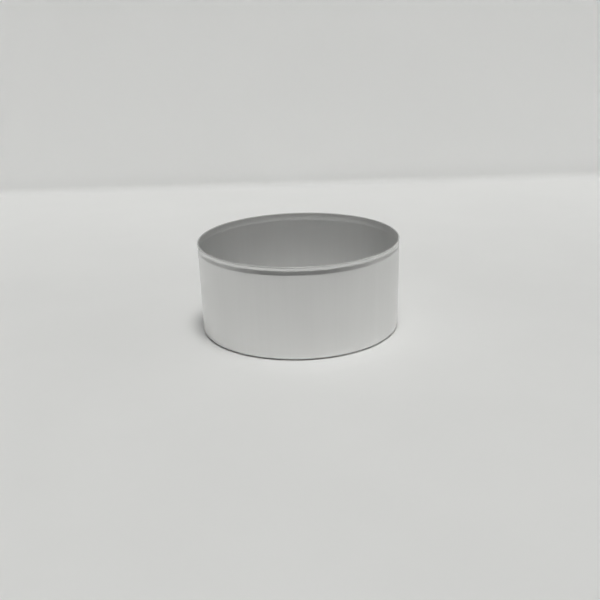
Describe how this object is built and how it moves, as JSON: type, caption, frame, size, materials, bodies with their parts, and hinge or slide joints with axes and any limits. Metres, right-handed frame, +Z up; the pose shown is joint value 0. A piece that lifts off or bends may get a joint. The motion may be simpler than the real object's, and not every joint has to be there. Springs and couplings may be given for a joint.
{
  "type": "candle tin",
  "caption": "Open round drawn aluminium candle tin, shallow and straight-walled, with a flush folded hem over a narrow shoulder and a slightly raised flat floor.",
  "frame": {"origin": "centre of the cup's footprint, on the plane that the standing ring rests on", "axes": "+Z up along the cup's axis of rotation, towards the open mouth; +X and +Y are any two directions across the round base"},
  "size_m": [0.0386, 0.0386, 0.0175],
  "materials": {
    "aluminium": "satin, as rolled and drawn"
  },
  "bodies": {
    "root": {"drawn_cup": "aluminium"}
  },
  "joints": []
}
